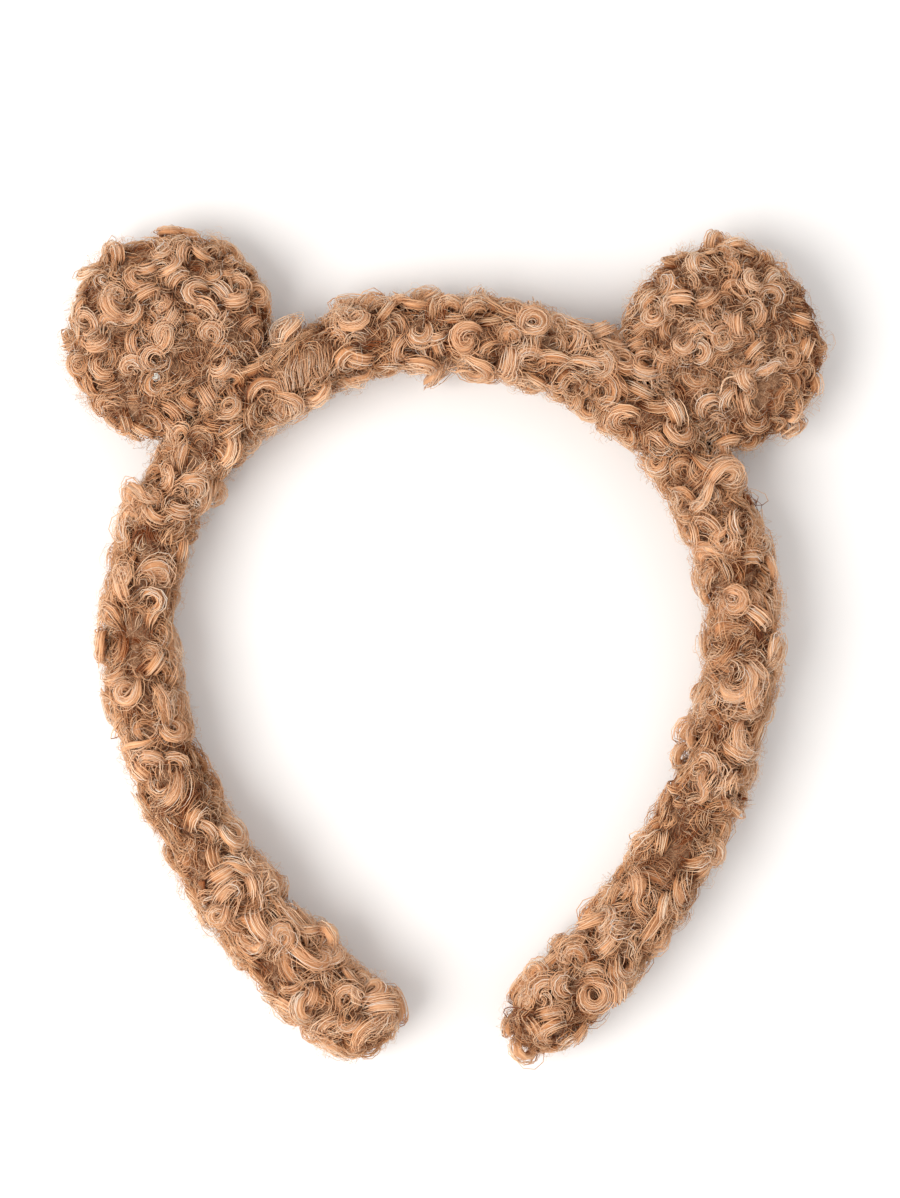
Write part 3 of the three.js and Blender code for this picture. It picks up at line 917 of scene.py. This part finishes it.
def foam_material():
    """Open-celled cream foam."""
    material, tree, shader = new_material("padding_foam", 0.95)
    holes = add_node(tree, "TexVoronoi", Vector=own_place(tree), Scale=1300.0).outputs["Distance"]
    stops = [(0.0, (0.62, 0.55, 0.40)), (0.6, (0.86, 0.81, 0.67))]
    plug(tree, shader.inputs["Base Color"], ramp(tree, holes, stops))
    bump_by(tree, shader, holes, 0.8, 0.0004)
    return material


def wadding_material():
    """White fibre wadding."""
    stops = [(0.3, (0.76, 0.71, 0.63)), (0.7, (0.92, 0.88, 0.80))]
    return grainy_material("ear_wadding", 0.95, (900.0, 6.0, 2.5), stops, (0.9, 0.0008))[0]


def steel_material():
    """Tempered spring steel, brushed along its length."""
    noise = (500.0, 5.0, 0.2, (0.2, 0.2, 12.0))
    stops = [(0.3, (0.46, 0.48, 0.50)), (0.7, (0.62, 0.64, 0.66))]
    material, shader = grainy_material("spring_steel", 0.32, noise, stops, (0.3, 0.0001))
    shader.inputs["Metallic"].default_value = 1.0
    return material


def vinyl_material():
    """The moulded caps over the spring's ends."""
    stops = [(0.3, (0.15, 0.14, 0.14)), (0.7, (0.19, 0.18, 0.18))]
    return grainy_material("tip_cap_vinyl", 0.45, (1800.0, 2.0, 0.0), stops, (0.25, 0.0001))[0]


PILE_MATERIAL = pile_material()
BACKING_MATERIAL = backing_material()
THREAD_MATERIAL = thread_material()
FOAM_MATERIAL = foam_material()
WADDING_MATERIAL = wadding_material()
STEEL_MATERIAL = steel_material()
VINYL_MATERIAL = vinyl_material()


def dress(piece, material):
    piece.data.materials.append(material)


def add_pile(name, curls, undercoat, hairs):
    """The three layers of pile on a backing, from their groups of tubes, by layer."""
    layers = {"curls": curls, "undercoat": undercoat, "stray_hairs": hairs}
    pieces = {layer: tube_mesh(f"{name}_{layer}", groups) for layer, groups in layers.items()}
    for piece in pieces.values():
        dress(piece, PILE_MATERIAL)
    return pieces


# ---- The band ----
SEAM_HALF_GAP = 1.6
MIDDLE = 80.0
LOWER = 150.0
# Each span of the band: where it starts and ends, the body it begins and ends on, and the flex between.
BAND_SPANS = {
    "left_shoulder": (-MIDDLE, 0.0, "crown", "left_upper_arm", -CROWN_FLEX),
    "right_shoulder": (0.0, MIDDLE, "crown", "right_upper_arm", CROWN_FLEX),
    "left_arm": (-LOWER, -MIDDLE, "left_upper_arm", "left_lower_arm", -ARM_FLEX),
    "right_arm": (MIDDLE, LOWER, "right_upper_arm", "right_lower_arm", ARM_FLEX),
    "left_end": (-TIP, -LOWER, "left_lower_arm", None, None),
    "right_end": (LOWER, TIP, "right_lower_arm", None, None),
}
SHOULDER_MIX = [(SWIRL, 0.22), (CURL, 0.34), (ARCH, 0.22), (MAT, 0.14), (WAVE, 0.08)]
ARM_MIX = [(SWIRL, 0.10), (CURL, 0.18), (ARCH, 0.16), (MAT, 0.38), (WAVE, 0.18)]
CURL_SPACING = 3.8
KNOB_SPACING = 12.0
UNDER_SPACING = 2.5
STRAY_SPACING = 2.9
FUZZ_SPACING = 1.0
# What an ear covers of the band, on which nothing grows: half its length, its half height and from where out.
EAR_ON_BAND = (13.5, 4.5, 2.0)
SEAM_OUT = -4.0
# A patch near the left ear where the locks lie combed: from and to along the band, its lowest up, from
# and to across the band, and the places of its locks, out and along.
COMBED_SPAN = (-38.5, -24.5)
COMBED_UP = 2.0
COMBED_OUT = (-4.5, 4.8)
COMBED_ALONG = [(4.6, -37.0), (3.2, -33.5), (4.6, -29.5), (3.6, -26.0)]
COMBED_ACROSS = [(-1.2, -37.2), (-0.8, -35.0), (-1.4, -32.8), (-1.0, -30.6), (-1.6, -28.4), (-1.0, -26.2)]
COMBED_SPREAD = 14
SMALLER_CREST = 0.35


def smaller(style, scale):
    """The same kind of lock at another size and a little lower, with hairs as thick."""
    sized = {key: tuple(scale * v for v in style[key]) for key in ("length", "half_wide")}
    crest = tuple(c - SMALLER_CREST for c in style["crest"])
    return dict(style, **sized, crest=crest)


def grow_mixed(roots, normals, rng, mix):
    """Locks of several styles, each root taking one of them by its share of the mix."""
    shares = np.array([share for _, share in mix])
    kind = rng.choice(len(mix), len(roots), p=shares / shares.sum())
    groups = []
    for index, (style, _) in enumerate(mix):
        chosen = kind == index
        groups += grow_locks(roots[chosen], normals[chosen], rng, style)
    return groups


def within(values, limits):
    return (values > limits[0]) & (values < limits[1])


def band_roots(sleeve, spacing, rng, combed=False):
    """Roots on the sleeve, but not on its seam, under the ears or, if combed is true, in that patch."""
    places, directions = scatter(sleeve, spacing, rng)
    out, up, along = band_place(places)
    keep = ~((out < SEAM_OUT) & (np.abs(up) < SEAM_HALF_GAP))
    half_length, half_height, from_out = EAR_ON_BAND
    for place in EAR_PLACES.values():
        keep &= ~((np.abs(along - place) < half_length) & (np.abs(up) < half_height) & (out > from_out))
    if combed:
        keep &= ~(within(along, COMBED_SPAN) & (up > COMBED_UP) & within(out, COMBED_OUT))
    return places[keep], directions[keep]


def on_sleeve_top(out, along):
    """Places on top of the sleeve's backing and the directions straight out of it."""
    out, along = np.array(out), np.array(along)
    up = BACKING_HALF_WIDE * np.sqrt(1 - (out / BACKING_HALF_THICK) ** 2)
    place = on_band(out, up, along)
    beyond = on_band(out + out / BACKING_HALF_THICK**2, up + up / BACKING_HALF_WIDE**2, along)
    return place, unit(beyond - place)


def grow_combed(rng):
    """The locks of the combed patch: an outer row along the band, and an inner row across it."""
    groups = []
    for places, turn, row in ((COMBED_ALONG, 0, COMB), (COMBED_ACROSS, 90, SHORT_COMB)):
        out, along = zip(*places)
        heading = turn - math.degrees(np.mean(along) / BAND_RADIUS)
        style = dict(row, spin=(heading - COMBED_SPREAD, heading + COMBED_SPREAD))
        groups += grow_locks(*on_sleeve_top(out, along), rng, style)
    return groups


def follow_band(piece, body_a, body_b):
    """Rides on one body of the band, or, between two bodies, has its place baked into its mesh."""
    if body_b is None:
        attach(piece, body_a)
        return
    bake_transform(piece)


SEAM_STITCH = 3.0
SEAM_STITCH_LENGTH = 1.7
SEAM_STITCH_HALF = 1.15
SEAM_END = 214.0


def sew_seam(name, start, end):
    """Slanting stitches that close the sleeve along its inner side."""
    start, end = max(start, -SEAM_END), min(end, SEAM_END)
    count = int((end - start) / SEAM_STITCH)
    along = start + SEAM_STITCH * (np.arange(count) + 0.3)
    inside = INNER_FLAT * BACKING_HALF_THICK * band_swell(along) - 0.1
    starts = on_band(inside, -SEAM_STITCH_HALF, along)
    ends = on_band(inside, SEAM_STITCH_HALF, along + SEAM_STITCH_LENGTH)
    return sew(name, starts, ends, unit(on_band(inside - 1, 0, along) - on_band(inside, 0, along)))


GATHERS = 9
GATHER_FROM = 0.12
GATHER_TO = 0.52


def sew_gathers(name, side):
    """Stitches that draw the sleeve's end together, like the spokes of a wheel."""
    turn = circle(GATHERS)

    def on_end(reach):
        out = reach * BACKING_HALF_THICK * (1 + ARM_SWELL) * np.cos(turn)
        up = reach * BACKING_HALF_WIDE * np.sin(turn)
        along = BACKING_END - BACKING_ROUNDING * (1 - math.sqrt(1 - reach**2))
        return on_band(out, up, side * along)

    starts, ends = on_end(GATHER_FROM), on_end(GATHER_TO)
    straight_out = on_band(0, 0, side * (TIP + 1)) - on_band(0, 0, side * TIP)
    return sew(name, starts, ends, np.tile(unit(straight_out), (GATHERS, 1)))


FOAM_END = 206.2
FOAM_HALF_THICK = 5.1
FOAM_HALF_WIDE = 8.5
SLOT_HALF_THICK = 0.85
SLOT_HALF_WIDE = 3.9
SLOT_SQUARENESS = 0.4
FOAM_UNEVENNESS = 0.12


def add_foam(name, start, end):
    """The foam tube round the spring, with a slot for it."""
    start, end = max(start, -FOAM_END), min(end, FOAM_END)
    steps = int(round((end - start) / SLEEVE_STEP))
    along = np.linspace(start, end, steps + 1)[:, None]
    angle = circle(SLEEVE_SIDES)
    cos, sin = np.cos(angle)[None], np.sin(angle)[None]
    swell = band_swell(along)
    outer = on_band(FOAM_HALF_THICK * swell * np.maximum(cos, INNER_FLAT), FOAM_HALF_WIDE * sin, along)
    uneven = lumps(outer.reshape(-1, 3)).reshape(*outer.shape[:2], 1)
    outer += MM * FOAM_UNEVENNESS * (uneven - 1) * unit(outer - on_band(0, 0, along))
    slot_out = SLOT_HALF_THICK * np.sign(cos) * np.abs(cos) ** SLOT_SQUARENESS
    slot_up = SLOT_HALF_WIDE * np.sign(sin) * np.abs(sin) ** SLOT_SQUARENESS
    inner = on_band(slot_out, slot_up, along)

    faces = ring_faces(len(along), SLEEVE_SIDES)
    size = len(along) * SLEEVE_SIDES
    ring = np.arange(SLEEVE_SIDES)
    after = (ring + 1) % SLEEVE_SIDES
    last = size - SLEEVE_SIDES
    ends = [np.stack([ring, ring + size, after + size, after], axis=1)]
    ends += [last + np.stack([ring, after, after + size, ring + size], axis=1)]
    quads = np.concatenate([faces, size + faces[:, ::-1], *ends])
    foam = make_mesh(name, np.concatenate([outer.reshape(-1, 3), inner.reshape(-1, 3)]), quads)
    dress(foam, FOAM_MATERIAL)
    return foam


def add_band_span(name, rng):
    """One span of the band: its sleeve, the pile on it in layers, its seam and its foam."""
    start, end, body_a, body_b, flex = BAND_SPANS[name]
    mix = SHOULDER_MIX if name.endswith("shoulder") else ARM_MIX
    sleeve = add_sleeve(f"{name}_backing", start, end)
    dress(sleeve, BACKING_MATERIAL)
    curls = grow_mixed(*band_roots(sleeve, CURL_SPACING, rng, combed=True), rng, mix)
    curls += grow_locks(*band_roots(sleeve, KNOB_SPACING, rng, combed=True), rng, KNOB)
    if name == "left_shoulder":
        curls += grow_combed(rng)
    under = grow_locks(*band_roots(sleeve, UNDER_SPACING, rng), rng, UNDER)
    hairs = grow_locks(*band_roots(sleeve, STRAY_SPACING, rng), rng, STRAY)
    hairs += grow_locks(*band_roots(sleeve, FUZZ_SPACING, rng), rng, FUZZ)
    pieces = {"backing": sleeve, "seam": sew_seam(f"{name}_seam", start, end)}
    pieces["foam"] = add_foam(f"{name}_foam", start, end)
    pieces.update(add_pile(name, curls, under, hairs))
    if name.endswith("end"):
        pieces["gathers"] = sew_gathers(f"{name}_gathers", math.copysign(1, start))
    for piece in pieces.values():
        follow_band(piece, body_a, body_b)
    return pieces


# ---- The ears ----
EAR_CURL_SPACING = 3.75
EAR_UNDER_SPACING = 2.45
EAR_MIX = [(smaller(SWIRL, 0.76), 0.14), (smaller(CURL, 0.9), 0.42), (smaller(ARCH, 0.88), 0.32),
           (smaller(WAVE, 0.85), 0.12)]
FOOT_MARGIN = 0.6
FILLING_RADIUS = 20.6
FILLING_HALF_THICK = 8.3
FILLING_FOOT = 13.6
FILLING_UNEVENNESS = 0.5


def ear_roots(skin, side, spacing, rng):
    """Roots on an ear, above where it meets the sleeve."""
    places, directions = scatter(skin, spacing, rng)
    keep = ear_place(side, places)[1] > EAR_FOOT + FOOT_MARGIN
    return places[keep], directions[keep]


RIM_HALF_TURN = 118
RIM_STITCHES = 30
RIM_STITCH_HALF = 1.2


def sew_rim(name, side):
    """Stitches over the rim of an ear, where its two faces meet."""
    turn = np.radians(np.linspace(-RIM_HALF_TURN, RIM_HALF_TURN, RIM_STITCHES))
    reach = EAR_RADIUS - 0.15

    def on_rim(turn, reach, up):
        return on_ear(side, reach * np.sin(turn), EAR_CENTRE_OUT + reach * np.cos(turn), up)

    starts = on_rim(turn, reach, -RIM_STITCH_HALF)
    ends = on_rim(turn + 0.06, reach, RIM_STITCH_HALF)
    outward = unit(on_rim(turn + 0.03, reach + 1, 0) - on_rim(turn + 0.03, reach, 0))
    return sew(name, starts, ends, outward)


BASE_STITCHES = 8
BASE_HALF_LENGTH = 12.0
BASE_ON_BAND = 4.6
BASE_ON_EAR = 9.2


def ear_height(along, out):
    """How high an ear's skin stands over the band's middle plane."""
    reach = np.hypot(along, EAR_CENTRE_OUT - out) / EAR_RADIUS
    return EAR_HALF_THICK * (1 - reach**EAR_DOME_POWER) ** (1 / EAR_DOME_POWER)


def sew_base(name, side):
    """Ladder stitches that hold an ear to the band, on its front and on its back."""
    along = np.tile(np.linspace(-BASE_HALF_LENGTH, BASE_HALF_LENGTH, BASE_STITCHES), 2)
    face = np.repeat([1.0, -1.0], BASE_STITCHES)
    band_up = BACKING_HALF_WIDE * math.sqrt(1 - (BASE_ON_BAND / BACKING_HALF_THICK) ** 2)
    starts = on_ear(side, along, BASE_ON_BAND, face * (band_up + 0.2))
    ends = on_ear(side, along + 1.0, BASE_ON_EAR, face * (ear_height(along + 1.0, BASE_ON_EAR) + 0.2))
    outward = face[:, None] * np.array([0.0, 0.0, 1.0])
    return sew(name, starts, ends, outward)


def add_ear(side, rng):
    """One ear: its skin, the pile on it in layers, its stitches and its filling."""
    skin = add_ear_skin(f"{side}_ear_backing", side, EAR_RADIUS, EAR_HALF_THICK, EAR_FOOT, 0.0)
    dress(skin, BACKING_MATERIAL)
    filling = add_ear_skin(f"{side}_ear_wadding", side, FILLING_RADIUS, FILLING_HALF_THICK, FILLING_FOOT,
                           FILLING_UNEVENNESS)
    dress(filling, WADDING_MATERIAL)
    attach(filling, f"{side}_ear")
    curls = grow_mixed(*ear_roots(skin, side, EAR_CURL_SPACING, rng), rng, EAR_MIX)
    curls += grow_locks(*ear_roots(skin, side, KNOB_SPACING, rng), rng, smaller(KNOB, 0.8))
    under = grow_locks(*ear_roots(skin, side, EAR_UNDER_SPACING, rng), rng, smaller(UNDER, 0.8))
    hairs = grow_locks(*ear_roots(skin, side, STRAY_SPACING, rng), rng, STRAY)
    hairs += grow_locks(*ear_roots(skin, side, FUZZ_SPACING, rng), rng, FUZZ)
    pieces = {"backing": skin, "rim": sew_rim(f"{side}_ear_rim_stitches", side)}
    pieces["base"] = sew_base(f"{side}_ear_hand_stitches", side)
    pieces.update(add_pile(f"{side}_ear", curls, under, hairs))
    for piece in pieces.values():
        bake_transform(piece)
    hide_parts(f"{side}_ear_front_panel", f"{side}_ear_back_panel")
    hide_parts(f"{side}_ear_filling")
    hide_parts(f"{side}_ear_rim_seam")
    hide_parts(f"{side}_ear_base_stitches")


# A yarn end that lies over the right ear, and a tuft of wadding that has come through the left one.
YARN_ALONG = 6.4
YARN_FROM = 23.0
YARN_TO = 14.2
YARN_ABOVE = 4.1
YARN_TURNS = 6.5
YARN_SWAY = 0.8
YARN_TUCK = 3.0
YARN_STATIONS = 60
PLY_RADIUS = 0.13
TUFT_ALONG = -8.4
TUFT_OUT = 17.8


def add_yarn_end(name):
    """Two plies twisted together, each with its ends tucked down into the pile."""
    t = np.linspace(0, 1, YARN_STATIONS)
    along = YARN_ALONG + YARN_SWAY * np.sin(2.4 * math.pi * t)
    out = YARN_FROM + (YARN_TO - YARN_FROM) * t
    up = ear_height(along, out) + YARN_ABOVE - YARN_TUCK * np.abs(2 * t - 1) ** 6
    plies = []
    for start in (0, math.pi):
        turn = 2 * math.pi * YARN_TURNS * t + start
        plies.append(on_ear("right", along + PLY_RADIUS * np.cos(turn), out, up + PLY_RADIUS * np.sin(turn)))
    path = np.stack(plies)[None]
    facing = np.broadcast_to([0.0, 0.0, 1.0], path.shape)
    corners = round_tubes(path, facing, np.full(path.shape[:3], MM * PLY_RADIUS), STITCH_SIDES)
    facts = np.broadcast_to([0.7, 0.6, 4.0], corners.shape)
    yarn = tube_mesh(name, [(corners, facts)])
    dress(yarn, PILE_MATERIAL)
    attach(yarn, "right_ear")


def add_tuft(name, rng):
    root = on_ear("left", [TUFT_ALONG], [TUFT_OUT], [ear_height(TUFT_ALONG, TUFT_OUT)])
    tuft = tube_mesh(name, grow_locks(root, np.array([[0.0, 0.0, 1.0]]), rng, TUFT))
    dress(tuft, WADDING_MATERIAL)
    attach(tuft, "left_ear")


# ---- Build ----
bpy.context.scene.view_settings.view_transform = "Standard"
add_camera()
add_area_light("key", place=(-0.60, -0.22, 0.85), size=0.85, watts=11.2, colour=(1.0, 0.985, 0.965))
add_area_light("fill", place=(0.7, 0.5, 0.9), size=0.9, watts=2.0, colour=(0.95, 0.975, 1.0))
add_world(strength=0.82, colour=(1.0, 0.995, 0.99))
add_floor()

rng = np.random.default_rng(7)
spans = {name: add_band_span(name, rng) for name in BAND_SPANS}
for side in EAR_PLACES:
    add_ear(side, rng)
add_yarn_end("right_ear_yarn_end")
add_tuft("left_ear_tuft", rng)

# The CAD's five segments of each soft part, by the span that stands for them.
STANDS_FOR = {
    "left_shoulder": ("crown", "left_upper_arm"),
    "right_shoulder": ("right_upper_arm",),
    "left_end": ("left_lower_arm",),
    "right_end": ("right_lower_arm",),
}
for name, segments in STANDS_FOR.items():
    for layer, node in (("backing", "cover"), ("foam", "padding"), ("seam", "seam_thread")):
        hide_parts(*(f"{node}_{segment}" for segment in segments))
for side in ("left", "right"):
    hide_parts(f"tip_gather_stitch_{side}")
    frame["nodes"][f"tip_cap_{side}"].material_slots[0].material = VINYL_MATERIAL
for segment in ("crown", "left_upper_arm", "left_lower_arm", "right_upper_arm", "right_lower_arm"):
    frame["nodes"][f"spring_strip_{segment}"].material_slots[0].material = STEEL_MATERIAL
